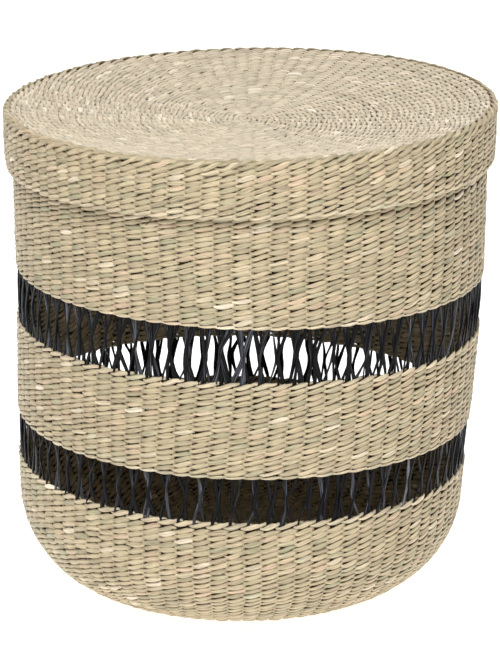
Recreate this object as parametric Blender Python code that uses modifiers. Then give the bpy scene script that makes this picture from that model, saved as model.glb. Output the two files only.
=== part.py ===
"""A round lidded laundry basket, twined from seagrass over dark stakes.

Frame: metres, +Z up, origin on the floor at the centre of the base.
The basket body stands on its base disc. The lid is a shallow cap that drops over the
mouth and lifts straight off along +Z. Every woven band is a closed wall of the weave's
true outside shape and thickness. Round both openwork bands the dark stakes are bare and
cross in pairs, and there each sector of crossed stakes is one flat net.
"""

import math

import bpy

# Driving dimensions
LID_RADIUS = 0.2250
LID_EDGE_RADIUS = 0.2223
OVERALL_HEIGHT = 0.4532
LID_SKIRT_BOTTOM = 0.3996
LID_DISH_DEPTH = 0.0190
LID_DISH_POWER = 2.5
LID_CORNER_ROUND = 0.0060
MOUTH_RADIUS = 0.2165
WALL_FLARE = 0.0085
CORNER_HEIGHT = 0.0837
BASE_RADIUS = 0.1383
CORNER_POWER = 1.87
WALL = 0.0055
LID_WALL = 0.0050
STAKE_THICKNESS = 0.0032
GAP = 0.0003

# Heights of the bands above the floor
LOWER_OPENING = (0.1172, 0.1604)
UPPER_OPENING = (0.2486, 0.2984)
SLANT_ROW_HEIGHT = 0.0052
CORD_ROW_HEIGHT = 0.0046
MOUTH_BORDER = (0.4400, 0.4450)
LID_BORDER_HEIGHT = 0.0048
CENTRE_RADIUS = 0.0300
LID_CORNER_ROW_INNER = 0.2133
LID_CORNER_ROW_DROP = 0.0088

# How the round shapes and the stake nets are divided
RING_STEPS = 40
CORNER_POINTS = 7
LOWER_WALL_RINGS = (("lower_band", 0, 1), ("round_corner", 1, 4), ("base_turn", 4, 7))
DISH_POINTS = 5
ROUND_POINTS = 3
SECTORS = 14
CROSSES_PER_SECTOR = 3
FIRST_SECTOR = 0.25
STAKE_WIDTH = 0.0042
HOOP_HEIGHT = 0.0016
SEAM_MERGE = 0.00005
SHARP_ANGLE = math.radians(40.0)

# Colours of the grass and of the stakes, with their roughness
GRASS = (0.62, 0.53, 0.36)
GRASS_DARK = (0.50, 0.41, 0.26)
GRASS_PALE = (0.70, 0.62, 0.45)
STAKE = (0.016, 0.016, 0.022)
GRASS_ROUGHNESS = 0.72
STAKE_ROUGHNESS = 0.42


def clear_scene():
    """Start from an empty scene."""
    for old in list(bpy.data.objects):
        bpy.data.objects.remove(old, do_unlink=True)


def make_collection(name):
    """A collection linked to the scene."""
    made = bpy.data.collections.new(name)
    bpy.context.scene.collection.children.link(made)
    return made


def make_material(name, colour, roughness):
    """A plain Principled material."""
    material = bpy.data.materials.new(name)
    material.use_nodes = True
    shader = material.node_tree.nodes["Principled BSDF"]
    shader.inputs["Base Color"].default_value = (*colour, 1.0)
    shader.inputs["Roughness"].default_value = roughness
    shader.inputs["Metallic"].default_value = 0.0
    return material


def wall_radius(z):
    """Outside radius of the basket's wall at a height, with its slight flare to the mouth."""
    if z < CORNER_HEIGHT:
        return corner_radius(z)
    rise = min(1.0, (z - CORNER_HEIGHT) / (LID_SKIRT_BOTTOM - CORNER_HEIGHT))
    return MOUTH_RADIUS - WALL_FLARE * (1.0 - rise) ** 2


def corner_radius(z):
    """Outside radius of the round bottom corner at a height, a superellipse quarter."""
    width = MOUTH_RADIUS - WALL_FLARE - BASE_RADIUS
    down = 1.0 - z / CORNER_HEIGHT
    return BASE_RADIUS + width * (1.0 - down**CORNER_POWER) ** (1.0 / CORNER_POWER)


def lid_height(radius):
    """Height of the lid's top surface at a radius: it sags towards its centre."""
    return OVERALL_HEIGHT - LID_DISH_DEPTH * (1.0 - (radius / LID_RADIUS) ** LID_DISH_POWER)


def lid_skirt_radius(z):
    """Outside radius of the lid's skirt at a height."""
    drop = (OVERALL_HEIGHT - z) / (OVERALL_HEIGHT - LID_SKIRT_BOTTOM)
    return LID_RADIUS + (LID_EDGE_RADIUS - LID_RADIUS) * drop


def inset(outline, depth):
    """The points of an outline moved towards its inner side by a depth, along its normals."""
    moved = []
    for i, (radius, z) in enumerate(outline):
        before = outline[max(i - 1, 0)]
        after = outline[min(i + 1, len(outline) - 1)]
        run = (after[0] - before[0], after[1] - before[1])
        length = math.hypot(*run)
        moved.append((radius + depth * run[1] / length, z - depth * run[0] / length))
    return moved


def turn(name, profile, material, collection):
    """A closed profile of (radius, height) points, turned about +Z by a Screw modifier."""
    mesh = bpy.data.meshes.new(name)
    points = [(radius, 0.0, z) for radius, z in profile]
    on_axis = profile[0][0] == 0.0
    edges = [(i, i + 1) for i in range(len(points) - 1)]
    if not on_axis:
        edges.append((len(points) - 1, 0))
    mesh.from_pydata(points, edges, [])
    made = bpy.data.objects.new(name, mesh)
    collection.objects.link(made)
    screw = made.modifiers.new("turned", "SCREW")
    screw.steps = RING_STEPS
    screw.render_steps = RING_STEPS
    screw.use_merge_vertices = True
    screw.merge_threshold = SEAM_MERGE
    mesh.materials.append(material)
    return made


def wall_ring(name, bottom, top, material, collection):
    """A plain band of the basket's wall between two heights."""
    outer = [(wall_radius(top), top), (wall_radius(bottom), bottom)]
    inner = [(radius - WALL, z) for radius, z in reversed(outer)]
    return turn(name, outer + inner, material, collection)


def base_centre(material, collection):
    """The round start of the base, where the stakes cross under the first rows."""
    profile = [(0.0, WALL), (CENTRE_RADIUS, WALL), (CENTRE_RADIUS, 0.0), (0.0, 0.0)]
    return turn("base_centre", profile, material, collection)


def base_disc(material, collection):
    """The flat woven disc that the basket stands on."""
    outer = BASE_RADIUS - GAP
    inner = CENTRE_RADIUS + GAP
    profile = [(outer, WALL), (outer, 0.0), (inner, 0.0), (inner, WALL)]
    return turn("base_disc", profile, material, collection)


def shortened(start, end):
    """The start of a line moved towards its end by one gap."""
    length = math.dist(start, end)
    return tuple(a + (b - a) * GAP / length for a, b in zip(start, end))


def lower_wall(material, collection):
    """The lower band, the round corner and the turn into the base: three rings of one curve."""
    top = LOWER_OPENING[0] - SLANT_ROW_HEIGHT - GAP
    outer = [(wall_radius(top), top)]
    for i in range(CORNER_POINTS):
        sweep = 0.5 * math.pi * i / (CORNER_POINTS - 1)
        z = CORNER_HEIGHT * (1.0 - math.sin(sweep) ** (2.0 / CORNER_POWER))
        outer.append((wall_radius(max(z, 0.0)), z))
    inner = inset(outer, WALL)
    inner[0] = (inner[0][0], top)
    inner[-1] = (BASE_RADIUS, WALL)
    for name, first, last in LOWER_WALL_RINGS:
        outside = outer[first : last + 1]
        inside = inner[first : last + 1]
        if first > 0:
            outside[0] = shortened(outside[0], outside[1])
            inside[0] = shortened(inside[0], inside[1])
        turn(name, outside + inside[::-1], material, collection)


def lid_disc_profile(inner, outer):
    """A closed profile of the lid's sagging top between two radii."""
    radii = [inner + (outer - inner) * i / (DISH_POINTS - 1) for i in range(DISH_POINTS)]
    upper = [(radius, lid_height(radius)) for radius in radii]
    lower = [(radius, z - LID_WALL) for radius, z in reversed(upper)]
    return upper + lower


def lid_centre(material, collection):
    """The round start of the lid, where its stakes cross."""
    return turn("lid_centre", lid_disc_profile(0.0, CENTRE_RADIUS), material, collection)


def lid_top(material, collection):
    """The lid's woven top, dished a little towards its centre."""
    profile = lid_disc_profile(CENTRE_RADIUS + GAP, LID_CORNER_ROW_INNER - GAP)
    return turn("lid_top", profile, material, collection)


def lid_corner_row(material, collection):
    """The rows that turn the lid's top over into its skirt."""
    foot = OVERALL_HEIGHT - LID_CORNER_ROW_DROP
    outer = [(LID_CORNER_ROW_INNER, lid_height(LID_CORNER_ROW_INNER))]
    for i in range(ROUND_POINTS):
        sweep = 0.5 * math.pi * i / (ROUND_POINTS - 1)
        radius = LID_RADIUS - LID_CORNER_ROUND * (1.0 - math.sin(sweep))
        outer.append((radius, OVERALL_HEIGHT - LID_CORNER_ROUND * (1.0 - math.cos(sweep))))
    outer.append((lid_skirt_radius(foot), foot))
    inner_radius = lid_skirt_radius(foot) - LID_WALL
    under = lid_height(LID_CORNER_ROW_INNER) - LID_WALL
    inner = [(inner_radius, foot), (inner_radius, under), (LID_CORNER_ROW_INNER, under)]
    return turn("lid_corner_row", outer + inner, material, collection)


def lid_ring(name, bottom, top, material, collection):
    """A band of the lid's skirt between two heights."""
    outer = [(lid_skirt_radius(top), top), (lid_skirt_radius(bottom), bottom)]
    inner = [(radius - LID_WALL, z) for radius, z in reversed(outer)]
    return turn(name, outer + inner, material, collection)


def cross_points(x, root, half, low, high):
    """The outline points of one cross of two stakes with the hoop points over and under it."""
    middle = 0.5 * (low + high)
    reach = 0.5 * (high - low) * half / root
    across = (-root - half, -root + half, root - half, root + half)
    return (
        [(x - root, high + HOOP_HEIGHT), (x + root, high + HOOP_HEIGHT)]
        + [(x + step, high) for step in across]
        + [(x - half, middle), (x, middle + reach), (x + half, middle), (x, middle - reach)]
        + [(x + step, low) for step in across]
        + [(x - root, low - HOOP_HEIGHT), (x + root, low - HOOP_HEIGHT)]
    )


# The faces of one cross, by the order of its points: top hoop, four arms, waist, foot hoop
CROSS_FACES = (
    (0, 2, 3), (0, 3, 4, 1), (1, 4, 5),
    (2, 6, 7, 3), (4, 7, 8, 5), (6, 9, 8, 7), (6, 10, 11, 9), (9, 12, 13, 8),
    (10, 14, 11), (11, 14, 15, 12), (12, 15, 13),
)
# The hoop faces from one cross to the next, by the order of both crosses' points
LINK_FACES = ((1, 5, 18, 16), (13, 15, 30, 26))
POINTS_PER_CROSS = 16


def net_surface(pitch, low, high):
    """The points and faces of one sector's flat net: a row of crosses joined by two hoops."""
    points = []
    faces = []
    for i in range(CROSSES_PER_SECTOR):
        x = (i - (CROSSES_PER_SECTOR - 1) / 2.0) * pitch
        points += cross_points(x, pitch / 4.0, STAKE_WIDTH / 2.0, low, high)
        first = i * POINTS_PER_CROSS
        faces += [[first + corner for corner in face] for face in CROSS_FACES]
        if i < CROSSES_PER_SECTOR - 1:
            faces += [[first + corner for corner in face] for face in LINK_FACES]
    return points, faces


def net_end(points, faces, first, side, pitch):
    """Add the hoops' ends, half a gap short of the sector's edge, beside the cross at first."""
    edge = side * (CROSSES_PER_SECTOR * pitch - GAP) / 2.0
    corners = (0, 2, 10, 14) if side < 0.0 else (1, 5, 13, 15)
    top, arm, foot, bottom = (first + corner for corner in corners)
    added = len(points)
    points += [(edge, points[corner][1]) for corner in (top, arm, foot, bottom)]
    for hoop in ([top, added, added + 1, arm], [foot, added + 2, added + 3, bottom]):
        faces.append(hoop if side < 0.0 else hoop[::-1])


def bent_round(points, azimuth, radius):
    """Flat points wrapped round +Z at the middle of the wall: X runs round it and Y up."""
    bent = []
    for x, z in points:
        angle = azimuth + x / radius
        distance = wall_radius(z) - WALL / 2.0
        bent.append((distance * math.cos(angle), distance * math.sin(angle), z))
    return bent


def stake_nets(prefix, opening, material, collection):
    """All the sectors of crossed stakes round one openwork band."""
    low = opening[0] + GAP + HOOP_HEIGHT
    high = opening[1] - GAP - HOOP_HEIGHT
    radius = wall_radius(0.5 * (low + high)) - WALL / 2.0
    pitch = 2.0 * math.pi * radius / (SECTORS * CROSSES_PER_SECTOR)
    points, faces = net_surface(pitch, low, high)
    last_cross = (CROSSES_PER_SECTOR - 1) * POINTS_PER_CROSS
    net_end(points, faces, 0, -1.0, pitch)
    net_end(points, faces, last_cross, 1.0, pitch)
    for i in range(SECTORS):
        name = f"{prefix}_{i + 1:02d}"
        azimuth = 2.0 * math.pi * (i + FIRST_SECTOR) / SECTORS
        mesh = bpy.data.meshes.new(name)
        mesh.from_pydata(bent_round(points, azimuth, radius), [], faces)
        mesh.materials.append(material)
        net = bpy.data.objects.new(name, mesh)
        collection.objects.link(net)
        thick = net.modifiers.new("strand_thickness", "SOLIDIFY")
        thick.thickness = STAKE_THICKNESS
        thick.offset = 0.0


def shade_round(collection):
    """Smooth shading with sharp rims on every part."""
    for part in collection.objects:
        part.data.shade_smooth()
        part.data.set_sharp_from_angle(angle=SHARP_ANGLE)


def build():
    """Model the whole basket and its lid."""
    clear_scene()
    parts = make_collection("laundry_basket")
    grass = make_material("grass", GRASS, GRASS_ROUGHNESS)
    grass_dark = make_material("grass_dark", GRASS_DARK, GRASS_ROUGHNESS)
    grass_pale = make_material("grass_pale", GRASS_PALE, GRASS_ROUGHNESS)
    stake = make_material("stake", STAKE, STAKE_ROUGHNESS)

    base_centre(grass_dark, parts)
    base_disc(grass, parts)
    lower_wall(grass, parts)
    lower_lock = (LOWER_OPENING[0] - SLANT_ROW_HEIGHT, LOWER_OPENING[0])
    middle_foot = (LOWER_OPENING[1], LOWER_OPENING[1] + CORD_ROW_HEIGHT)
    middle_lock = (UPPER_OPENING[0] - SLANT_ROW_HEIGHT, UPPER_OPENING[0])
    upper_foot = (UPPER_OPENING[1], UPPER_OPENING[1] + CORD_ROW_HEIGHT)
    wall_ring("lower_band_lock_row", *lower_lock, grass_pale, parts)
    stake_nets("lower_stakes", LOWER_OPENING, stake, parts)
    wall_ring("middle_band_foot_row", *middle_foot, grass_pale, parts)
    wall_ring("middle_band", middle_foot[1] + GAP, middle_lock[0] - GAP, grass, parts)
    wall_ring("middle_band_lock_row", *middle_lock, grass_pale, parts)
    stake_nets("upper_stakes", UPPER_OPENING, stake, parts)
    wall_ring("upper_band_foot_row", *upper_foot, grass_pale, parts)
    wall_ring("upper_band", upper_foot[1] + GAP, MOUTH_BORDER[0] - GAP, grass, parts)
    wall_ring("mouth_border", *MOUTH_BORDER, grass_dark, parts)

    lid_centre(grass_dark, parts)
    lid_top(grass, parts)
    lid_corner_row(grass_pale, parts)
    skirt_top = OVERALL_HEIGHT - LID_CORNER_ROW_DROP - GAP
    border_top = LID_SKIRT_BOTTOM + LID_BORDER_HEIGHT
    lid_ring("lid_skirt", border_top + GAP, skirt_top, grass, parts)
    lid_ring("lid_border", LID_SKIRT_BOTTOM, border_top, grass_pale, parts)
    shade_round(parts)


build()
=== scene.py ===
# %% [markdown]
# # A lidded laundry basket, twined in seagrass
#
# The basket is twined: two soft seagrass strands travel together round the wall, and between one
# upright stake and the next they swap places, so one is always outside and one inside. Each swap
# shows as a plump slanted stitch. Twice the maker stops twining and leaves the black stakes bare,
# crossed over each other, which gives the two dark openwork bands. The lid is a shallow cap made
# in the same way, and it lifts straight off.
#
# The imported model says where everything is. This file dresses it: every wall becomes real rows of
# stitches, and every stretch of openwork becomes real bunches of black strands.

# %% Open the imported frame
import math

import bpy
import numpy as np
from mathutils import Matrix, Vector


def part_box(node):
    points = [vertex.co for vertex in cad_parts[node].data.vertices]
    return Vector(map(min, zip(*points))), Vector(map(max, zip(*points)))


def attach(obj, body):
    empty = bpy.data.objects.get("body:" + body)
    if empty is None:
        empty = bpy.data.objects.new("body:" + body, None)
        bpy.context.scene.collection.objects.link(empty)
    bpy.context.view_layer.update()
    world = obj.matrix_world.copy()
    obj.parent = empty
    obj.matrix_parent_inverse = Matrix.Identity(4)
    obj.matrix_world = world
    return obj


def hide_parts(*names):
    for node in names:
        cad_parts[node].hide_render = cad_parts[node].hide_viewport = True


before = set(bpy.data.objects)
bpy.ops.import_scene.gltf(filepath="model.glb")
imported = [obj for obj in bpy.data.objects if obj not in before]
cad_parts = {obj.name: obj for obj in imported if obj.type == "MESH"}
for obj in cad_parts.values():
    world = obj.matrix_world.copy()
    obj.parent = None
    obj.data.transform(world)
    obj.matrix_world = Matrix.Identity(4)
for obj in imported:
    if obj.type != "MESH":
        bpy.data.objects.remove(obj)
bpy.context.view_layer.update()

# %% [markdown]
# ## The camera
#
# The basket is seen from in front and a little above, through a long lens, so that its sides stay
# nearly parallel and the top of the lid shows as a flat oval. The whole view is kept in four
# numbers: how far away the camera stands, how high, how much it looks down, and its lens.

# %% Stand the camera
CAMERA_DISTANCE = 2.583
CAMERA_HEIGHT = 1.0357
CAMERA_DOWN = 17.38
CAMERA_LENS = 155.57


def stand_camera():
    bpy.ops.object.camera_add(location=(0, -CAMERA_DISTANCE, CAMERA_HEIGHT))
    camera = bpy.context.object
    camera.rotation_euler = (math.radians(90 - CAMERA_DOWN), 0, 0)
    camera.data.lens = CAMERA_LENS
    camera.data.sensor_width = 36
    bpy.context.scene.camera = camera
    return camera


camera = stand_camera()
print("camera at", tuple(round(c, 3) for c in camera.location), "lens", camera.data.lens)

# %% [markdown]
# ## The outline of the basket
#
# A twined wall follows one outline that is turned round the upright axis. It is written as a list
# of points, each with a radius and a height, and rows are then spaced evenly along it. The same
# few sizes as in the CAD part are used, and one band of the imported frame is measured and printed.

# %% Sizes of the wall and the lid
WALL_TOP_RADIUS = 0.2165
WALL_FLARE = 0.0085
CORNER_HEIGHT = 0.0837
CORNER_POWER = 1.87
BASE_RADIUS = 0.1383
SKIRT_FOOT = 0.3996
WALL_THICKNESS = 0.0055
LID_RADIUS = 0.2250
LID_FOOT_RADIUS = 0.2223
LID_THICKNESS = 0.0050
LID_TOP = 0.4532
LID_DISH = 0.0190
LID_DISH_POWER = 2.5
LID_CORNER_ROUND = 0.0050
MIDDLE_RADIUS = 0.002
COLUMNS = 84
LID_COLUMNS = 96
FIRST_COLUMN = -math.pi / 2 + 0.01
band_low, band_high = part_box("upper_band")
print("upper band from", round(band_low.z, 4), "to", round(band_high.z, 4))
print("wall thickness taken inward from the outline:", WALL_THICKNESS)

# %% Heights of the bands above the floor, and how many rows each has
LOWER_BAND = (0.0, 0.1120)
LOWER_LOCK = (0.1121, 0.1173)
LOWER_OPENING = (0.1172, 0.1604)
MIDDLE_FOOT = (0.1602, 0.1636)
MIDDLE_BAND = (0.1636, 0.2431)
MIDDLE_LOCK = (0.2435, 0.2487)
UPPER_OPENING = (0.2486, 0.2984)
UPPER_FOOT = (0.2982, 0.3016)
UPPER_BAND = (0.3016, 0.4397)
MOUTH_BORDER = (0.4396, 0.4440)
UPPER_ROW_COUNT = 28
MIDDLE_ROW_COUNT = 16
LOWER_ROW_COUNT = 27
print("openings, in metres:", LOWER_OPENING, UPPER_OPENING)

# %% The outline of the wall and of the base
OUTLINE_POINTS = 400


def wall_radius(height):
    rise = min(1.0, (height - CORNER_HEIGHT) / (SKIRT_FOOT - CORNER_HEIGHT))
    return WALL_TOP_RADIUS - WALL_FLARE * (1 - rise) ** 2


def corner_radius(height):
    straight = WALL_TOP_RADIUS - WALL_FLARE
    drop = 1 - height / CORNER_HEIGHT
    return BASE_RADIUS + (straight - BASE_RADIUS) * (1 - drop**CORNER_POWER) ** (1 / CORNER_POWER)


def outer_radius(height):
    return wall_radius(height) if height >= CORNER_HEIGHT else corner_radius(height)


def wall_outline(low, high):
    """Outer points of the wall from the height low up to high, closer together at the foot."""
    steps = np.linspace(0, 1, OUTLINE_POINTS) ** 2
    heights = low + (high - low) * steps
    return np.array([(outer_radius(height), height) for height in heights])


def base_outline(inner, outer):
    """The underside of the basket, from near its middle out to the round corner."""
    radii = np.linspace(inner, outer, OUTLINE_POINTS)
    return np.array([(radius, 0.0) for radius in radii])


print("radius at the floor and at the mouth:", outer_radius(0), outer_radius(MOUTH_BORDER[1]))

# %% The outline of the lid
SKIRT_POINTS = 200
CORNER_POINTS = 60
TOP_POINTS = 900


def lid_height(radius):
    return LID_TOP - LID_DISH * (1 - (radius / LID_RADIUS) ** LID_DISH_POWER)


def skirt_point(step, corner_start):
    radius = LID_FOOT_RADIUS + (LID_RADIUS - LID_FOOT_RADIUS) * step
    return radius, SKIRT_FOOT + (corner_start - SKIRT_FOOT) * step


def lid_outline():
    """The skirt of the lid, its tight corner, and its dished top, as one line to the middle."""
    corner_start = LID_TOP - LID_CORNER_ROUND
    centre = LID_RADIUS - LID_CORNER_ROUND
    rise = LID_CORNER_ROUND - (LID_TOP - lid_height(centre))
    skirt = [skirt_point(step, corner_start) for step in np.linspace(0, 1, SKIRT_POINTS)]
    corner = [
        (centre + LID_CORNER_ROUND * math.cos(turn), corner_start + rise * math.sin(turn))
        for turn in np.linspace(0, math.pi / 2, CORNER_POINTS)[1:]
    ]
    radii = np.linspace(centre, MIDDLE_RADIUS, TOP_POINTS)[1:]
    return np.array(skirt + corner + [(radius, lid_height(radius)) for radius in radii])


print("lid outline starts at", lid_outline()[0], "and ends at", lid_outline()[-1])

# %% Rows spaced along an outline


def lengths_along(outline):
    """How far along the outline each of its points lies."""
    steps = np.diff(outline, axis=0)
    return np.concatenate([[0], np.cumsum(np.hypot(steps[:, 0], steps[:, 1]))])


def rows_along(outline, count, thickness, start=0.0, end=None):
    """Rows evenly spaced along an outline, each at the middle of the wall's thickness.

    Every row is its radius, its height, how much the outline runs outward and upward there, and
    its share of the outline's length."""
    length = lengths_along(outline)
    end = length[-1] if end is None else end
    pitch = (end - start) / count
    places = start + pitch * (np.arange(count) + 0.5)

    def point_at(place):
        return np.array([np.interp(place, length, outline[:, 0]), np.interp(place, length, outline[:, 1])])

    radius, height = point_at(places)
    along = point_at(places + pitch / 2) - point_at(places - pitch / 2)
    along /= np.hypot(*along)
    middle_radius = radius - along[1] * thickness / 2
    middle_height = height + along[0] * thickness / 2
    return np.column_stack([middle_radius, middle_height, along[0], along[1], np.full(count, pitch)])


upper_rows = rows_along(wall_outline(*UPPER_BAND), UPPER_ROW_COUNT, WALL_THICKNESS)
print("upper band row pitch, in millimetres:", round(upper_rows[0, 4] * 1000, 2))

# %% [markdown]
# ## A hand-made lean
#
# No woven basket stands perfectly true. The wall of this one leans a degree or so, and the lid sits
# a degree the other way. Every point of the wall and the lid is therefore passed through one gentle
# shift, which is nothing at the floor, so that the base still stands flat.

# %% Lean of the wall and the lid
WALL_LEAN = -0.0190
LID_LEAN = 0.0150
LID_NOD = 0.010
WALL_SHIFT = -0.0090
WALL_SWELL = 0.006
LID_SKIRT_SWELL = 0.008
LID_TOP_SWELL = 0.002
# The heights between which each of these comes in or goes out
LEAN_STARTS = (0, 0.11)
LEAN_TURNS = (0.365, 0.425)
SHIFT_ENDS = (0.05, 0.32)
LID_SWELL_ENDS = (0.42, 0.45)


def smooth_step(value, low, high):
    share = np.clip((value - low) / (high - low), 0, 1)
    return share * share * (3 - 2 * share)


def settle(points, body):
    """Moves an array of points by the small lean that hand work leaves."""
    x, y, z = points.T.copy()
    if body == "lid":
        swell = LID_SKIRT_SWELL + (LID_TOP_SWELL - LID_SKIRT_SWELL) * smooth_step(z, *LID_SWELL_ENDS)
        points[:, :2] *= (1 + swell)[:, None]
        points[:, 2] += LID_LEAN * x + LID_NOD * y
        return
    up = smooth_step(z, *LEAN_STARTS)
    turned = smooth_step(z, *LEAN_TURNS)
    points[:, :2] *= 1 + WALL_SWELL
    points[:, 2] += x * up * (WALL_LEAN * (1 - turned) + LID_LEAN * turned) + LID_NOD * y * turned
    points[:, 0] += WALL_SHIFT * (1 - smooth_step(z, *SHIFT_ENDS))


print("the lean moves the rim by", round(WALL_LEAN * WALL_TOP_RADIUS * 1000, 1), "mm")

# %% [markdown]
# ## Tools for building a piece
#
# Every piece starts as one primitive. What repeats is copied by an Array modifier, which is then
# applied, so that the points can be moved in code. A few short helpers do what every piece needs:
# copy it, read its points, write numbers for the material on them, and hand it over to the frame.

# %% Copy a primitive, and read and write its points


def deselect_all():
    if bpy.context.object is not None and bpy.context.object.mode != "OBJECT":
        bpy.ops.object.mode_set(mode="OBJECT")
    bpy.ops.object.select_all(action="DESELECT")


def name_piece(name):
    piece = bpy.context.object
    piece.name = name
    piece.data.name = name
    return piece


def apply_copies(piece, count, step):
    """Copies a primitive count times with an Array modifier, and applies it."""
    copies = piece.modifiers.new("copies", "ARRAY")
    copies.count = count
    copies.use_relative_offset = False
    copies.use_constant_offset = True
    copies.constant_offset_displace = (0, 0, step)
    bpy.context.view_layer.objects.active = piece
    bpy.ops.object.modifier_apply(modifier=copies.name)


def read_points(mesh):
    points = np.zeros(len(mesh.vertices) * 3)
    mesh.vertices.foreach_get("co", points)
    return points.reshape(-1, 3)


def write_attribute(mesh, name, values):
    attribute = mesh.attributes.new(name, "FLOAT_VECTOR", "POINT")
    attribute.data.foreach_set("vector", np.ascontiguousarray(values, dtype=np.float32).ravel())


print("a piece is copied by", apply_copies.__name__)

# %% Close a piece and hand it over
MERGE_DISTANCE = 0.000004


def merge_seams():
    bpy.ops.mesh.remove_doubles(threshold=MERGE_DISTANCE)


def face_outward():
    bpy.ops.mesh.normals_make_consistent(inside=False)


def edit_all(piece, operator):
    """Runs one edit-mode operator on the whole piece, and shades it smooth."""
    deselect_all()
    piece.select_set(True)
    bpy.context.view_layer.objects.active = piece
    bpy.ops.object.mode_set(mode="EDIT")
    bpy.ops.mesh.select_all(action="SELECT")
    operator()
    bpy.ops.object.mode_set(mode="OBJECT")
    bpy.ops.object.shade_smooth()


def hand_over(piece, body, nodes, slot, material):
    """Gives the piece its material and its body, and hides the CAD nodes that it replaces; slot is not used.
    """
    piece.data.materials.clear()
    piece.data.materials.append(material)
    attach(piece, body)
    if nodes:
        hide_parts(*nodes)


print("seams closer than", MERGE_DISTANCE * 1000, "mm are merged")

# %% [markdown]
# ## One twined pair of strands
#
# A whole round of twining is two soft tubes wound round each other, half a turn for each stake. The
# tube could be a curve with a bevel, but a curve keeps one section all along, and a seagrass strand
# is fat where it crosses a stake and thin where it dives between two. So a flat grid is added, one
# square for each small step along and around, an Array modifier copies it for both strands of every
# row, and the grid's points are then rolled into place in code. Merging doubles closes each ring.
# Where a strand dives it is pinched, and that leaves the small dark notch beside every stitch.

# %% The shape of a stitch
DIVE_POWER = 0.5
SWELL_POWER = 0.7
LOPSIDED = 0.16
OVERLAP_DEPTH = 0.0005
USUAL_PITCH = 0.0048


class Stitch:
    """The shape of one kind of stitch, in metres: depth of the wind, rise, and half sizes."""

    def __init__(self, depth, rise, middle, end, thick_middle, thick_end, uneven=1.0):
        self.depth = depth
        self.rise = rise
        self.middle = middle
        self.end = end
        self.thick_middle = thick_middle
        self.thick_end = thick_end
        self.uneven = uneven


BAND_STITCH = Stitch(0.00155, 0.00145, 0.00275, 0.00115, 0.00125, 0.00080)
LID_STITCH = Stitch(0.00145, 0.00145, 0.00280, 0.00115, 0.00115, 0.00080, 1.15)
LID_TOP_STITCH = Stitch(0.00145, 0.00120, 0.00305, 0.00120, 0.00115, 0.00080, 0.75)
print("a band stitch is", BAND_STITCH.middle * 2000, "mm tall at its middle")

# %% Where every point lies along and around its strand
STEPS_PER_STITCH = 5
SIDES = 6
GRID_STEP = 0.01


class Winding:
    """For each point of the copied grids: its row, its strand, and its place along and around."""

    def __init__(self, grid, per_strand, columns):
        steps = columns * STEPS_PER_STITCH
        along = np.rint((grid[:, 0] + 0.5) * steps).astype(int) % steps
        around = np.rint((grid[:, 1] + 0.5) * SIDES).astype(int) % SIDES
        strand = np.arange(len(grid)) // per_strand
        self.row = strand // 2
        self.side = strand % 2
        self.place = along / STEPS_PER_STITCH + 0.5 / STEPS_PER_STITCH
        self.turn = math.tau * (around + 0.5) / SIDES
        self.column = self.place.astype(int) % columns
        self.crossing = np.rint(self.place).astype(int) % columns
        pair = np.rint((self.place - 0.5 - self.side) / 2).astype(int)
        self.stitch = (pair * 2 + self.side) % columns
        swing = math.pi * (self.place - 0.5)
        sign = 1 - 2 * self.side
        self.front = sign * np.cos(swing)
        self.climb = sign * np.sin(swing)
        self.swell = np.abs(self.front) ** SWELL_POWER


def start_rows(name, count, columns):
    """Flat grids for the two strands of every row, and where their points lie on them."""
    deselect_all()
    bpy.ops.mesh.primitive_grid_add(
        x_subdivisions=columns * STEPS_PER_STITCH, y_subdivisions=SIDES, size=1, location=(0, 0, 0)
    )
    piece = name_piece(name)
    per_strand = len(piece.data.vertices)
    apply_copies(piece, count * 2, GRID_STEP)
    return piece, Winding(read_points(piece.data), per_strand, columns)


print("a stitch has", STEPS_PER_STITCH * SIDES, "faces")

# %% [markdown]
# ## Uneven hand work
#
# A machine would make every stitch the same. By hand, some stitches are fatter or slant more, some
# stand proud, the crossings are pinched by different amounts, and whole rows wander up and down. Each
# of these is a random number from a seeded generator, so the basket comes out the same every time.

# %% How stitches and rows stray
UNEVEN_STITCH = {"fatness": 0.10, "lift": 0.00026, "depth": 0.00018, "slant": 0.20}
UNEVEN_CROSSING = {"pinch": 0.30, "place": 0.055}
ROW_WANDER = 0.00026
ROW_WAVES = 5


def hand_work(random, shape, stitch, at):
    """For each point, how far its stitch or its crossing strays in each way."""
    strayed = {}
    for ways, where in ((UNEVEN_STITCH, at.column), (UNEVEN_CROSSING, at.crossing)):
        for way, size in ways.items():
            strayed[way] = stitch.uneven * random.normal(0, size, shape)[at.row, where]
    return strayed


def row_wander(random, count, size, row, angle):
    """A slow closed wave round the basket, for each row: its height wanders by about size."""
    waves = np.arange(1, ROW_WAVES + 1)
    strength = random.normal(0, size, (count, ROW_WAVES)) / waves
    phase = random.uniform(0, math.tau, (count, ROW_WAVES))
    return (strength[row] * np.cos(waves * angle[:, None] + phase[row])).sum(1)


print("rows wander by about", ROW_WANDER * 1000, "mm")

# %% How the colour changes from stitch to stitch
STITCHES_PER_LENGTH = 6
HUE_OF_STITCH = 0.62
HUE_OF_LENGTH = 0.65
LIGHT_OF_STITCH = 0.75
LIGHT_OF_LENGTH = 0.45


def by_length(random, rows, columns):
    """One random number for each length of seagrass, repeated for the stitches made with it."""
    lengths = random.normal(0, 1, (rows, columns // STITCHES_PER_LENGTH + 1))
    return np.repeat(lengths, STITCHES_PER_LENGTH, axis=1)[:, :columns]


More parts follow.
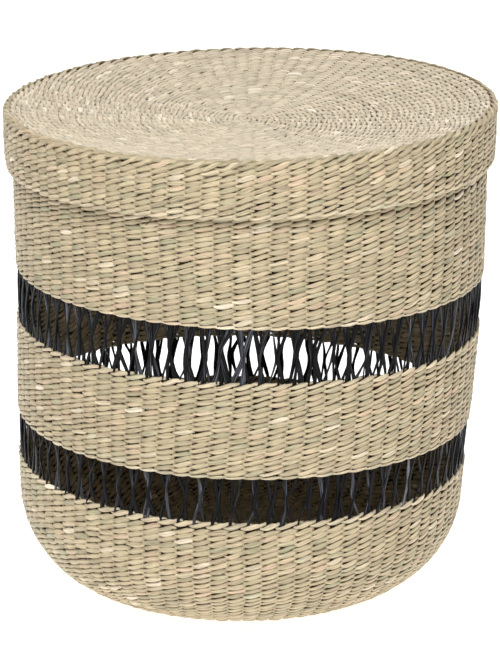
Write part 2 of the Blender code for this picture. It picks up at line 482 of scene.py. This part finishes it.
def strand_colours(random, rows, columns):
    """Hue and lightness of each stitch: they drift along a strand, and differ between stitches."""
    hue = random.normal(0, 1, (rows, columns))
    light = random.normal(0, 1, (rows, columns))
    first = by_length(random, rows, columns)
    second = by_length(random, rows, columns)
    length = np.where(np.arange(columns) % 2 == 0, first, second)
    return (
        HUE_OF_STITCH * hue + HUE_OF_LENGTH * length,
        LIGHT_OF_STITCH * light + LIGHT_OF_LENGTH * length[:, ::-1],
    )


print("a length of seagrass makes", STITCHES_PER_LENGTH, "stitches")

# %% Wind the strands of one row round each other


def wind(stitch, at, strayed, fit):
    """How far out and up each point lies from its row, and how far from its strand's middle."""
    end = stitch.end * (1 + strayed["pinch"])
    middle = stitch.middle * (1 + at.swell * strayed["fatness"])
    half_tall = (end + (middle - end) * at.swell) * fit * (1 + LOPSIDED * at.climb)
    half_thick = stitch.thick_end + (stitch.thick_middle - stitch.thick_end) * at.swell
    reach = stitch.depth * np.abs(at.front) ** DIVE_POWER + at.swell * strayed["depth"]
    depth = np.sign(at.front) * reach + OVERLAP_DEPTH * (1 - np.abs(at.front))
    rise = stitch.rise * at.climb * (1 + strayed["slant"]) + at.swell * strayed["lift"]
    across = half_tall * np.sin(at.turn)
    through = half_thick * np.cos(at.turn)
    return depth + through, rise * fit + across, across, through


print("a strand dives", BAND_STITCH.depth * 1000, "mm to each side of the stakes")

# %% Twine whole rows
COLUMN_DRIFT = 0.12
DRIFT_WAVES = 3
DRIFT_TURN = 31
FIBRE_ROW_STEP = 0.02


def twine(name, rows, columns, stitch, body, nodes, slot, material, seed, turned=0.0):
    """Rows of paired strands as one piece. Each row is a closed ring of two tubes."""
    random = np.random.default_rng(seed)
    count = len(rows)
    piece, at = start_rows(name, count, columns)
    radius, height, run_out, run_up, pitch = rows[at.row].T
    strayed = hand_work(random, (count, columns), stitch, at)
    drift = COLUMN_DRIFT * np.sin(DRIFT_WAVES * math.tau * at.place / columns + height * DRIFT_TURN)
    place = at.place + strayed["place"] * (1 - at.swell) + drift
    angle = FIRST_COLUMN + turned + math.tau * place / columns
    out, up, across, through = wind(stitch, at, strayed, pitch / USUAL_PITCH)
    up += row_wander(random, count, ROW_WANDER * stitch.uneven, at.row, angle)
    far = radius + out * run_up + up * run_out
    points = np.column_stack([far * np.cos(angle), far * np.sin(angle), height - out * run_out + up * run_up])
    settle(points, body)
    piece.data.vertices.foreach_set("co", points.ravel())
    hue, light = strand_colours(random, count, columns)
    # The third number is how near each point is to its strand's edges, where the material paints shade
    dye = [hue[at.row, at.stitch], light[at.row, at.stitch], np.sin(at.turn) ** 2]
    write_attribute(piece.data, "dye", np.column_stack(dye))
    start = random.uniform(0, 1, (count, 2))[at.row, at.side]
    length = at.place * math.tau * radius / columns
    fibre = [length, across + start, through + at.row * FIBRE_ROW_STEP]
    write_attribute(piece.data, "fibre", np.column_stack(fibre))
    edit_all(piece, merge_seams)
    hand_over(piece, body, nodes, slot, material)
    print(name, count, "rows of", columns, "stitches,", len(piece.data.polygons) * 2, "triangles")


print("rows are made by", twine.__name__)

# %% [markdown]
# ## Wires for the materials
#
# A Blender material is a net of nodes. Written one node at a time it is long and hard to follow, so
# one small class wraps a node's output and lets sums be written as sums. Everything else goes
# through its one method, which makes any node from its type, its settings and its inputs.

# %% A wire that can be added and multiplied


class Wire:
    def __init__(self, tree, socket=None):
        self.tree = tree
        self.socket = socket

    def node(self, kind, settings=None, inputs=None, output=0):
        made = self.tree.nodes.new(kind)
        for key, value in (settings or {}).items():
            if key == "stops":
                fill_ramp(made.color_ramp, value)
            else:
                setattr(made, key, value)
        for key, value in (inputs or {}).items():
            if isinstance(value, Wire):
                self.tree.links.new(value.socket, made.inputs[key])
            else:
                made.inputs[key].default_value = value
        return Wire(self.tree, made.outputs[output]) if made.outputs else Wire(self.tree)

    def math(self, operation, first, second):
        return self.node("ShaderNodeMath", {"operation": operation}, {0: first, 1: second})

    def __add__(self, other):
        return self.math("ADD", self, other)

    __radd__ = __add__

    def __mul__(self, other):
        return self.math("MULTIPLY", self, other)

    __rmul__ = __mul__

    def __sub__(self, other):
        return self.math("SUBTRACT", self, other)

    def __rsub__(self, other):
        return self.math("SUBTRACT", other, self)


def fill_ramp(ramp, stops):
    while len(ramp.elements) < len(stops):
        ramp.elements.new(0.5)
    for element, (place, colour) in zip(ramp.elements, stops):
        element.position = place
        element.color = (*colour, 1)


print("materials are written with", Wire.__name__)

# %% What every woven material needs


def new_material(name):
    material = bpy.data.materials.new(name)
    material.use_nodes = True
    material.node_tree.nodes.clear()
    return material, Wire(material.node_tree)


def finish_material(wire, shader_inputs):
    shader = wire.node("ShaderNodeBsdfPrincipled", None, shader_inputs)
    wire.node("ShaderNodeOutputMaterial", None, {"Surface": shader})


def read_dye_and_painted_light(wire):
    """The three numbers of the attribute: hue, lightness, and how near a point is to its strand's edges,
    where shade is painted.
    """
    dye = wire.node("ShaderNodeAttribute", {"attribute_name": "dye"}, output="Vector")
    split = wire.node("ShaderNodeSeparateXYZ", None, {"Vector": dye}).socket.node
    return [Wire(wire.tree, split.outputs[axis]) for axis in "XYZ"]


def strand_noise(wire, scale, detail, roughness=0.5):
    """Noise that is drawn out along the strands, by its scale along, across and through them."""
    fibre = wire.node("ShaderNodeAttribute", {"attribute_name": "fibre"}, output="Vector")
    place = wire.node("ShaderNodeMapping", None, {"Vector": fibre, "Scale": scale})
    inputs = {"Vector": place, "Scale": 1.0, "Detail": detail, "Roughness": roughness}
    return wire.node("ShaderNodeTexNoise", None, inputs)


def mix_colours(wire, factor, first, second, blend_type="MIX"):
    settings = {"data_type": "RGBA", "blend_type": blend_type}
    return wire.node("ShaderNodeMix", settings, {"Factor": factor, 6: first, 7: second}, output=2)


print("noise is drawn out by", strand_noise.__name__)

# %% [markdown]
# ## Seagrass
#
# Dried seagrass is never one colour. Along one strand it goes from pale straw to grey-green, and
# some blades have dried to a pinkish tan. Fine fibres run along every strand and catch the light as
# streaks. Each stitch carries two numbers, its hue and its lightness, and each point knows how far
# it lies along and across its own strand, so the fibres follow the winding and never slide. The
# edges of a strand are painted darker than its middle, as painted shade for the soft lines between rows.

# %% The seagrass material
SAGE = (0.320, 0.298, 0.190)
STRAW = (0.436, 0.358, 0.228)
BLUSH = (0.52, 0.385, 0.265)
BLEACHED = (0.70, 0.625, 0.52)
BLEACH_FROM = 1.1
BLEACH_FULL = 3.0
BLEACH_MOST = 0.6
# How far each number moves the hue along the ramp, and how much it darkens or lightens
USUAL_HUE = 0.48
HUE_BY_STITCH = 0.14
HUE_BY_BLOTCH = 0.95
HUE_BY_STREAK = 0.8
SHADE_BY_STITCH = 0.070
SHADE_BY_STREAK = 2.1
# The edges of every strand are darkened as painted shade for the lines between rows, and the middle is lifted
# to make up for it
PAINTED_SHADE_BY_EDGE = 0.45
MIDDLE_SHADE = 1.12
GRASS_ROUGHNESS = 0.50
GRASS_ROUGHNESS_BY_STREAK = -0.25
GRASS_STREAKS = (50, 800, 800)
GRASS_BLOTCHES = (120, 300, 300)


def grass_shade(light, streak, edge_shade_mask, tint):
    """A grey that darkens the streaks of each strand, and paints shade on its edges for the lines between
    rows.
    """
    painted_edge_shade = MIDDLE_SHADE - edge_shade_mask * edge_shade_mask * PAINTED_SHADE_BY_EDGE
    return (light * SHADE_BY_STITCH + 1.0) * ((streak - 0.5) * SHADE_BY_STREAK + 1.0) * painted_edge_shade * tint


def seagrass(name, tint=1.0, pale=0.0, warm=0.0, gloss=0.3):
    """Seagrass, with a tint on its brightness and how pale, warm and glossy it is; on the lid's top the
    paleness is painted sheen.
    """
    material, wire = new_material(name)
    hue, light, edge_shade_mask = read_dye_and_painted_light(wire)
    streak = strand_noise(wire, GRASS_STREAKS, 4.0, 0.62)
    blotch = strand_noise(wire, GRASS_BLOTCHES, 2.0)
    by_noise = (blotch - 0.5) * HUE_BY_BLOTCH + (0.5 - streak) * HUE_BY_STREAK
    stops = [(0.10, SAGE), (0.45, STRAW), (0.62, STRAW), (0.88, BLUSH)]
    ramp_place = hue * HUE_BY_STITCH + (USUAL_HUE + warm) + by_noise
    tone = wire.node("ShaderNodeValToRGB", {"stops": stops}, {"Fac": ramp_place})
    bleach_inputs = {"Value": light, "From Min": BLEACH_FROM, "From Max": BLEACH_FULL}
    bleach = wire.node("ShaderNodeMapRange", None, bleach_inputs)
    bleached = mix_colours(wire, bleach * BLEACH_MOST + pale, tone, (*BLEACHED, 1))
    shade = grass_shade(light, streak, edge_shade_mask, tint)
    grey = wire.node("ShaderNodeCombineColor", None, {0: shade, 1: shade, 2: shade})
    bump = wire.node("ShaderNodeBump", None, {"Height": streak, "Strength": 0.55, "Distance": 0.0004})
    shader_inputs = {
        "Base Color": mix_colours(wire, 1.0, bleached, grey, "MULTIPLY"),
        "Roughness": (streak - 0.5) * GRASS_ROUGHNESS_BY_STREAK + GRASS_ROUGHNESS,
        "Normal": bump,
        "Specular IOR Level": gloss,
    }
    finish_material(wire, shader_inputs)
    return material


natural = seagrass("seagrass_natural", 0.94, 0.0, 0.02)
blond = seagrass("seagrass_blond", 1.02, 0.12)
# The lid's top is paler than the wall: painted sheen, mixed toward the bleached colour where the light falls
# on the top
lid_natural_and_sheen = seagrass("seagrass_natural_lid", 0.97, 0.28, 0.06, 0.6)
base_natural = seagrass("seagrass_base", 0.90)
# A darker copy of the seagrass for the lid's hidden stakes: painted shade for the gaps between the lid's
# stitches
lid_inner_shaded = seagrass("seagrass_natural_inner_shaded", 0.55)
print("seagrass materials:", natural.name, blond.name, lid_natural_and_sheen.name, base_natural.name)

# %% [markdown]
# ## Black stakes
#
# The stakes are the same plant dyed black, flat and satin; a cold blue-grey is painted along their
# fibres as highlights. Inside the walls they are a warmer brown-black: painted shade for the gaps.

# %% The black material
BLACK = (0.0035, 0.0033, 0.0042)
# Painted highlights: the blue-grey, and the lighter brown of the inner stakes, are mixed into the base colour
# along streaks of the fibres, more on some strands at random
BLACK_PAINTED_GLINT = (0.22, 0.23, 0.27)
# The hidden stakes' brown-black is painted shade for the small gaps between stitches; the stray fibres use it
# too
INNER_BLACK = (0.022, 0.014, 0.006)
INNER_PAINTED_GLINT = (0.070, 0.047, 0.024)
GLINT_FROM = 0.58
GLINT_BY_STRAND = 0.11
BLACK_ROUGHNESS = 0.62
BLACK_ROUGHNESS_BY_STREAK = 0.3
BLACK_STREAKS = (45, 1500, 1500)


def black_rush(name, dark, glint_tone):
    material, wire = new_material(name)
    streak = strand_noise(wire, BLACK_STREAKS, 4.0)
    strand_glint = read_dye_and_painted_light(wire)[0]
    stops = [(GLINT_FROM, dark), (1.0, glint_tone)]
    tone = wire.node("ShaderNodeValToRGB", {"stops": stops}, {"Fac": streak + strand_glint * GLINT_BY_STRAND})
    bump = wire.node("ShaderNodeBump", None, {"Height": streak, "Strength": 0.7, "Distance": 0.0005})
    shader_inputs = {
        "Base Color": tone,
        "Roughness": BLACK_ROUGHNESS - streak * BLACK_ROUGHNESS_BY_STREAK,
        "Normal": bump,
        "Specular IOR Level": 0.10,
    }
    finish_material(wire, shader_inputs)
    return material


black = black_rush("seagrass_black", BLACK, BLACK_PAINTED_GLINT)
inner_black = black_rush("seagrass_black_inner", INNER_BLACK, INNER_PAINTED_GLINT)
print("black materials:", black.name, inner_black.name)

# %% [markdown]
# ## The twined bands of the wall
#
# The wall is three bands of twining with openwork between. Each band is made of pieces of up to
# sixteen rows, as a single mesh of them all would be too heavy to handle.

# %% Upper, middle and lower bands
# Rows of the lower band that lie on the round corner, and rows in half of the upper band
ROUND_ROWS = 13
HALF_BAND = 14
middle_rows = rows_along(wall_outline(*MIDDLE_BAND), MIDDLE_ROW_COUNT, WALL_THICKNESS)
lower_rows = rows_along(wall_outline(*LOWER_BAND), LOWER_ROW_COUNT, WALL_THICKNESS)


def band_rows(name, rows, nodes, seed):
    twine(name, rows, COLUMNS, BAND_STITCH, "basket", nodes, "seagrass_natural", natural, seed)


band_rows("upper_band_low_rows", upper_rows[:HALF_BAND], ["upper_band"], 11)
band_rows("upper_band_high_rows", upper_rows[HALF_BAND:], ["upper_band"], 12)
band_rows("middle_band_rows", middle_rows, ["middle_band"], 13)
band_rows("lower_band_foot_rows", lower_rows[:ROUND_ROWS], ["base_turn", "round_corner"], 14)
band_rows("lower_band_wall_rows", lower_rows[ROUND_ROWS:], ["lower_band"], 15)

# %% [markdown]
# ## Edge rows
#
# The rows that border the openwork are worked differently, so that they grip the bare stakes. The
# row under each opening is a bold one, slanting steeply, with a dark notch under every stitch, and
# the row over each opening is a thin twisted cord. The mouth has a firm border of its own, on which
# the lid rests.

# %% Lock rows, foot rows and the mouth border
LOCK_STITCH = Stitch(0.00170, 0.00150, 0.00245, 0.00070, 0.00130, 0.00080)
CORD_STITCH = Stitch(0.00150, 0.00080, 0.00240, 0.00080, 0.00120, 0.00080, 0.7)
BORDER_STITCH = Stitch(0.00165, 0.00120, 0.00220, 0.00120, 0.00130, 0.00115, 0.7)


def edge_row(node, heights, stitch, seed):
    rows = rows_along(wall_outline(*heights), 1, WALL_THICKNESS)
    twine(node + "_stitches", rows, COLUMNS, stitch, "basket", [node], "seagrass_blond", blond, seed)


edge_row("lower_band_lock_row", LOWER_LOCK, LOCK_STITCH, 21)
edge_row("middle_band_foot_row", MIDDLE_FOOT, CORD_STITCH, 22)
edge_row("middle_band_lock_row", MIDDLE_LOCK, LOCK_STITCH, 23)
edge_row("upper_band_foot_row", UPPER_FOOT, CORD_STITCH, 24)
edge_row("mouth_border", MOUTH_BORDER, BORDER_STITCH, 25)

# %% [markdown]
# ## The base
#
# Under the basket the rows go on to the middle. As the rings get smaller, stakes are left out, so
# that the stitches stay about as long as on the wall.

# %% Rings of the base, with fewer stitches towards the middle
RING_TURN = 0.53
BASE_PITCH = 0.0052
BASE_GROUPS = [
    (BASE_RADIUS, 0.1000, 72),
    (0.1000, 0.0660, 48),
    (0.0660, 0.0380, 30),
    (0.0380, 0.0180, 18),
    (0.0180, 0.0062, 8),
    (0.0062, 0.0012, 4),
]


def rings(name, outline, groups, pitch, thickness, stitch, body, nodes, slot, material, seed):
    """Concentric rows in groups: each group is its outer and inner radius and its stitch count."""
    length = lengths_along(outline)
    order = np.argsort(outline[:, 0])
    for index, (outer, inner, columns) in enumerate(groups):
        ends = sorted(np.interp([outer, inner], outline[order, 0], length[order]))
        count = max(1, round((ends[1] - ends[0]) / pitch))
        rows = rows_along(outline, count, thickness, ends[0], ends[1])
        turned = 0.0 if columns == LID_COLUMNS else RING_TURN * index
        ring_name = f"{name}_{index + 1}"
        twine(ring_name, rows, columns, stitch, body, nodes, slot, material, seed + index, turned)


rings(
    "base_rows", base_outline(MIDDLE_RADIUS, BASE_RADIUS), BASE_GROUPS, BASE_PITCH, WALL_THICKNESS,
    BAND_STITCH, "basket", ["base_disc", "base_centre"], "seagrass_base", base_natural, 31,
)

# %% [markdown]
# ## The lid
#
# The lid is one piece of twining, from the thick border of its skirt, over a tight corner, to the
# middle of its dished top. Its rows all lie on one outline.

# %% Skirt and corner of the lid
LID_BORDER_STITCH = Stitch(0.00150, 0.00110, 0.00210, 0.00115, 0.00120, 0.00105, 0.7)
LID_CORNER_STITCH = Stitch(0.00150, 0.00170, 0.00255, 0.00130, 0.00125, 0.00105)
# How far along the outline the skirt and the corner rows end
SKIRT_END = 0.0445
CORNER_END = 0.0560
SKIRT_ROW_COUNT = 9
CORNER_ROW_COUNT = 2
outline = lid_outline()
skirt_rows = rows_along(outline, SKIRT_ROW_COUNT, LID_THICKNESS, 0.0, SKIRT_END)
corner_rows = rows_along(outline, CORNER_ROW_COUNT, LID_THICKNESS, SKIRT_END, CORNER_END)


def lid_rows(name, rows, stitch, node, slot, material, seed):
    twine(name, rows, LID_COLUMNS, stitch, "lid", [node], slot, material, seed)


lid_rows("lid_border_stitches", skirt_rows[:1], LID_BORDER_STITCH, "lid_border", "seagrass_blond", blond, 41)
lid_rows("lid_skirt_rows", skirt_rows[1:], LID_STITCH, "lid_skirt", "seagrass_natural", natural, 42)
lid_rows(
    "lid_corner_stitches", corner_rows, LID_CORNER_STITCH, "lid_corner_row", "seagrass_natural", natural, 43
)

# %% Rings of the lid's top
LID_PITCH = 0.0049
# The outline point past the skirt and part of the corner, from which the top's rows are measured
LID_TOP_START = 240
LID_GROUPS = [
    (0.2183, 0.1900, 96),
    (0.1900, 0.1640, 96),
    (0.1640, 0.1200, 72),
    (0.1200, 0.0760, 48),
    (0.0760, 0.0460, 30),
    (0.0460, 0.0220, 18),
    (0.0220, 0.0062, 8),
    (0.0062, 0.0012, 4),
]
rings(
    "lid_top_rows", outline[LID_TOP_START:], LID_GROUPS, LID_PITCH, LID_THICKNESS,
    LID_TOP_STITCH, "lid", ["lid_top", "lid_centre"], "seagrass_natural", lid_natural_and_sheen, 51,
)

# %% [markdown]
# ## Flat strands
#
# A stake is a flat blade of dyed seagrass. A long ball with six sides, pressed flat and drawn out,
# has the right closed and tapered shape. It is added once, copied by an Array modifier, and every
# copy is bent along its own path.

# %% Draw balls out into flat strands
STRAND_SIDES = 6
BALL_STEP = 3.0


def start_balls(name, count, rings_count):
    """A ball for every strand, and the ring and the turn of each point of one ball."""
    deselect_all()
    bpy.ops.mesh.primitive_uv_sphere_add(
        segments=STRAND_SIDES, ring_count=rings_count, radius=1, location=(0, 0, 0)
    )
    piece = name_piece(name)
    ball = read_points(piece.data)
    apply_copies(piece, count, BALL_STEP)
    ring = np.rint(np.arccos(np.clip(ball[:, 2], -1, 1)) / math.pi * rings_count).astype(int)
    return piece, ring, np.arctan2(ball[:, 1], ball[:, 0])


def strands(name, paths, widths, thickness, rings_count, body, nodes, slot, material, seed):
    """Flat strands. A path is a list of angle, radius and height, one for each ring of the ball."""
    random = np.random.default_rng(seed)
    count = len(paths)
    piece, ring, turn = start_balls(name, count, rings_count)
    swell = np.where((ring == 0) | (ring == rings_count), 0.0, 1.0)
    middle_angle, middle_radius, height = np.moveaxis(np.array(paths)[:, ring, :], 2, 0)
    across = np.array(widths)[:, ring] * swell * np.sin(turn) / math.sin(math.pi / 3)
    out = thickness * swell * np.cos(turn)
    angle = middle_angle + across / middle_radius
    radius = middle_radius + out
    points = np.stack([radius * np.cos(angle), radius * np.sin(angle), height], axis=2).reshape(-1, 3)
    settle(points, body)
    piece.data.vertices.foreach_set("co", points.ravel())
    every_point = np.ones((1, len(ring)))
    start = random.uniform(0, 1, (count, 1)) * every_point
    fibre = np.stack([height, across + start, out + start], axis=2)
    write_attribute(piece.data, "fibre", fibre.reshape(-1, 3))
    # A random number for each strand: for the black strands, how much painted glint they get
    strand_glint = random.normal(0, 1, (count, 1)) * every_point
    write_attribute(piece.data, "dye", np.stack([strand_glint, strand_glint, strand_glint], axis=2).reshape(-1, 3))
    edit_all(piece, face_outward)
    hand_over(piece, body, nodes, slot, material)
    print(name, count, "strands,", len(piece.data.polygons) * 2, "triangles at most")


print("a strand has", STRAND_SIDES, "sides")

# %% [markdown]
# ## The openwork
#
# In each opening every stake is a bunch of two to four strands. They spread apart where they
# leave the twining, draw together at a waist, some crossing over, and spread again to the next
# band, so that the gaps between bunches look like tall rounded windows.

# %% The path of every strand of a bunch
OPEN_RINGS = 14
TUCK = 0.0060
END_STRAY = 0.0011
WAIST_STRAY = 0.0012
WAIST_HEIGHTS = (0.40, 0.62)
PULL_POWER = 1.15
SIDEWAYS_WAVES = (1.5, 2.6)
LAYER_STEP = 0.0009
WIDTH_CHANGE = 0.25
WIDTH_TURNS = 9


class Openwork:
    """How the bunches of one opening are laid, in metres."""

    def __init__(self, heights, counts, spread, waist, sideways, thin, wide):
        self.low, self.high = heights
        self.counts = counts
        self.spread = spread
        self.waist = waist
        self.sideways = sideways
        self.thin = thin
        self.wide = wide


def one_bunch(random, work, centre):
    """The path and the half widths of each strand of the bunch at one angle."""
    tall = work.high - work.low
    count = int(random.choice(work.counts))
    even = np.linspace(-work.spread, work.spread, count)
    tops = even + random.normal(0, END_STRAY, count)
    feet = random.permutation(even) + random.normal(0, END_STRAY, count)
    waist_height = random.uniform(*WAIST_HEIGHTS)
    waist_centre = random.normal(0, WAIST_STRAY)
    share = np.linspace(0, 1, OPEN_RINGS + 1)
    height = work.low - TUCK + (tall + 2 * TUCK) * share
    inner = np.clip((height - work.low) / tall, 0, 1)
    foot_pull = np.clip(1 - inner / waist_height, 0, 1) ** PULL_POWER
    top_pull = np.clip((inner - waist_height) / (1 - waist_height), 0, 1) ** PULL_POWER
    wall_middle = np.array([outer_radius(z) for z in height]) - WALL_THICKNESS / 2
    for strand in range(count):
        waist = waist_centre + random.normal(0, work.waist)
        offset = waist + (feet[strand] - waist) * foot_pull + (tops[strand] - waist) * top_pull
        waves = random.uniform(*SIDEWAYS_WAVES)
        offset += work.sideways * np.sin(math.pi * inner * waves + random.uniform(0, math.tau))
        layer = (strand - (count - 1) / 2) * LAYER_STEP * np.sin(math.pi * inner)
        radius = wall_middle + layer
        half = random.uniform(work.thin, work.wide)
        change = WIDTH_CHANGE * np.sin(share * WIDTH_TURNS + random.uniform(0, math.tau))
        yield np.column_stack([centre + offset / radius, radius, height]), half * (1 + change)


print("strands are tucked", TUCK * 1000, "mm into the bands")

# %% Crossed bunches in the two openings
UPPER_WORK = Openwork(UPPER_OPENING, [3, 3, 4], 0.0062, 0.0010, 0.0004, 0.0008, 0.0019)
LOWER_WORK = Openwork(LOWER_OPENING, [2, 2, 3], 0.0042, 0.0010, 0.0007, 0.0011, 0.0019)


def bunches(name, work, thickness, start, seed):
    """A bunch at every column, as one piece that replaces the nets whose names begin with start."""
    random = np.random.default_rng(seed)
    laid = []
    for column in range(COLUMNS):
        laid += one_bunch(random, work, FIRST_COLUMN + math.tau * (column + 0.5) / COLUMNS)
    paths, widths = zip(*laid)
    nodes = [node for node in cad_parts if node.startswith(start)]
    strands(
        name, paths, widths, thickness, OPEN_RINGS, "basket", nodes, "seagrass_black", black, seed + 1
    )


bunches("upper_openwork", UPPER_WORK, 0.00075, "upper_stakes", 61)
bunches("lower_openwork", LOWER_WORK, 0.00085, "lower_stakes", 63)

# %% [markdown]
# ## Stakes inside the twining
#
# Between the outer and the inner strand of every pair runs the stake itself. Little of it shows, but
# it is what darkens the small gaps between the stitches. A stake here is as wide as the room between
# its neighbours allows, and its rings are closer together near its ends, where it tapers.

# %% The path of every stake
FINE_ROWS = 400
END_RINGS = 3


def stake_paths(outline, thickness, columns, rings_count, half_width, middle_width):
    fine = rows_along(outline, FINE_ROWS, thickness)
    shares = 0.5 - 0.5 * np.cos(np.linspace(0, math.pi, rings_count + 1))
    rows = fine[np.rint(shares * (FINE_ROWS - 1)).astype(int)]
    profile = np.full(len(rows), half_width)
    profile[END_RINGS:-END_RINGS] = middle_width
    half_room = math.tau * rows[:, 0] / columns / 2
    angles = FIRST_COLUMN + math.tau * (np.arange(columns) + 0.5) / columns
    paths = [np.column_stack([np.full(len(rows), angle), rows[:, 0], rows[:, 1]]) for angle in angles]
    return paths, [np.minimum(profile, half_room)] * columns


print("a stake's rings are chosen from", FINE_ROWS, "places")

# %% Stakes within the bands and the lid
UPPER_STAKES = (0.2988, 0.4440)
MIDDLE_STAKES = (0.1640, 0.2486)
LOWER_STAKES = (0.0, 0.1172)
STAKE_THICKNESS = 0.00035
STAKE_HALF_WIDTH = 0.0085
SLIM_HALF_WIDTH = 0.0066
LID_STAKE_HALF_WIDTH = 0.0160
LID_STAKES = 48
LID_STAKE_RINGS = 40
STRAIGHT_WALL_RINGS = 8
ROUND_WALL_RINGS = 14
# The lid's stakes stop this many outline points short of its middle, where they would crowd
LID_STAKE_STOP = 120


# These hidden stakes take the brown-black that paints shade in the gaps between stitches
def wall_stakes(name, heights, middle_width, rings_count, seed):
    paths, widths = stake_paths(
        wall_outline(*heights), WALL_THICKNESS, COLUMNS, rings_count, STAKE_HALF_WIDTH, middle_width
    )
    strands(
        name, paths, widths, STAKE_THICKNESS, rings_count, "basket", [], "seagrass_black", inner_black, seed
    )


# The lid's stakes take the darker seagrass copy, painted shade for the gaps
def lid_stakes(name, seed):
    paths, widths = stake_paths(
        outline[:-LID_STAKE_STOP], LID_THICKNESS, LID_STAKES, LID_STAKE_RINGS,
        LID_STAKE_HALF_WIDTH, LID_STAKE_HALF_WIDTH,
    )
    strands(
        name, paths, widths, STAKE_THICKNESS, LID_STAKE_RINGS, "lid", [], "seagrass_natural", lid_inner_shaded, seed
    )


wall_stakes("upper_band_stakes", UPPER_STAKES, STAKE_HALF_WIDTH, STRAIGHT_WALL_RINGS, 71)
wall_stakes("middle_band_stakes", MIDDLE_STAKES, SLIM_HALF_WIDTH, STRAIGHT_WALL_RINGS, 72)
wall_stakes("lower_band_stakes", LOWER_STAKES, STAKE_HALF_WIDTH, ROUND_WALL_RINGS, 73)
lid_stakes("lid_stakes", 74)

# %% [markdown]
# ## Two stray fibres
#
# A few loose ends always escape from hand work. Two dark ones lie on the front of this basket: a
# short slanting fleck under the lid, and a curled thread on the middle band.

# %% A fleck and a curled thread
STRAY_PROUD = 0.0009
# Each place is an angle round the basket and a height above the floor
FLECK = [(-1.9902, 0.3878), (-1.9774, 0.3909), (-1.9634, 0.3942)]
CURL = [
    (-1.3798, 0.2215), (-1.3739, 0.2197), (-1.3643, 0.2189), (-1.3488, 0.2194),
    (-1.3350, 0.2203), (-1.3270, 0.2234), (-1.3195, 0.2255),
]


def stray(name, marks, half_width, seed):
    """A thin fibre that lies on the outside of the wall, through a few angles and heights."""
    angles, heights = np.array(marks).T
    shares = np.linspace(0, len(marks) - 1, OPEN_RINGS + 1)
    angle = np.interp(shares, np.arange(len(marks)), angles)
    height = np.interp(shares, np.arange(len(marks)), heights)
    radius = np.array([outer_radius(z) for z in height]) + STRAY_PROUD
    path = np.column_stack([angle, radius, height])
    widths = [np.full(OPEN_RINGS + 1, half_width)]
    strands(name, [path], widths, half_width, OPEN_RINGS, "basket", [], "seagrass_black", inner_black, seed)


stray("stray_fleck", FLECK, 0.00045, 81)
stray("stray_curl", CURL, 0.00032, 82)

# %% [markdown]
# ## The floor and the light
#
# A plain white floor, a white surround that lights the basket more from behind than from before it,
# and one large soft lamp in front and above, which makes the top of the lid the brightest part.

# %% A white floor
FLOOR_SIZE = 12.0
FLOOR_DROP = 0.0005
FLOOR_GLOW = 0.80


def white_floor():
    deselect_all()
    bpy.ops.mesh.primitive_plane_add(size=FLOOR_SIZE, location=(0, 0, -FLOOR_DROP))
    floor = bpy.context.object
    floor.name = "floor"
    material, wire = new_material("floor_white")
    shader_inputs = {
        "Base Color": (0.92, 0.92, 0.92, 1),
        "Roughness": 0.9,
        "Emission Color": (1, 1, 1, 1),
        "Emission Strength": FLOOR_GLOW,
    }
    finish_material(wire, shader_inputs)
    floor.data.materials.append(material)
    return floor


floor = white_floor()
print("floor:", floor.name, FLOOR_SIZE, "m across")

# %% A white surround
SURROUND_FRONT = 0.25
SURROUND_BACK = 1.3
SURROUND_TURNS = (0.3, 0.9)


def white_surround():
    """White to the eye all round, but a stronger light from behind the basket than from before it."""
    world = bpy.data.worlds.new("surround")
    world.use_nodes = True
    world.node_tree.nodes.clear()
    wire = Wire(world.node_tree)
    seen = wire.node("ShaderNodeLightPath")
    place = wire.node("ShaderNodeTexCoord")
    behind = wire.node("ShaderNodeSeparateXYZ", None, {"Vector": place}, output=1)
    turn_inputs = {
        "Value": behind,
        "From Min": SURROUND_TURNS[0],
        "From Max": SURROUND_TURNS[1],
        "To Min": SURROUND_FRONT,
        "To Max": SURROUND_BACK,
    }
    glow = wire.node("ShaderNodeMapRange", {"interpolation_type": "SMOOTHSTEP"}, turn_inputs)
    level = seen * (1 - glow) + glow
    background = wire.node("ShaderNodeBackground", None, {"Color": (1, 1, 1, 1), "Strength": level})
    wire.node("ShaderNodeOutputWorld", None, {"Surface": background})
    bpy.context.scene.world = world
    return world


world = white_surround()
print("surround:", world.name, "from", SURROUND_FRONT, "in front to", SURROUND_BACK, "behind")

# %% One soft lamp
LAMP_PLACE = (-0.05, -1.7, 2.9)
LAMP_AIM = (0, 0, 0.25)
LAMP_SIZE = 1.4
LAMP_POWER = 100


def front_lamp():
    bpy.ops.object.light_add(type="AREA", location=LAMP_PLACE)
    lamp = bpy.context.object
    lamp.name = "front_lamp"
    lamp.data.shape = "DISK"
    lamp.data.size = LAMP_SIZE
    lamp.data.energy = LAMP_POWER
    x, y, z = np.array(LAMP_AIM) - np.array(LAMP_PLACE)
    lamp.rotation_euler = (math.atan2(math.hypot(x, y), -z), 0, math.atan2(y, x) - math.pi / 2)
    return lamp


lamp = front_lamp()
bpy.context.scene.view_settings.view_transform = "Standard"
print("lamp:", lamp.name, LAMP_POWER, "watts at", LAMP_PLACE)
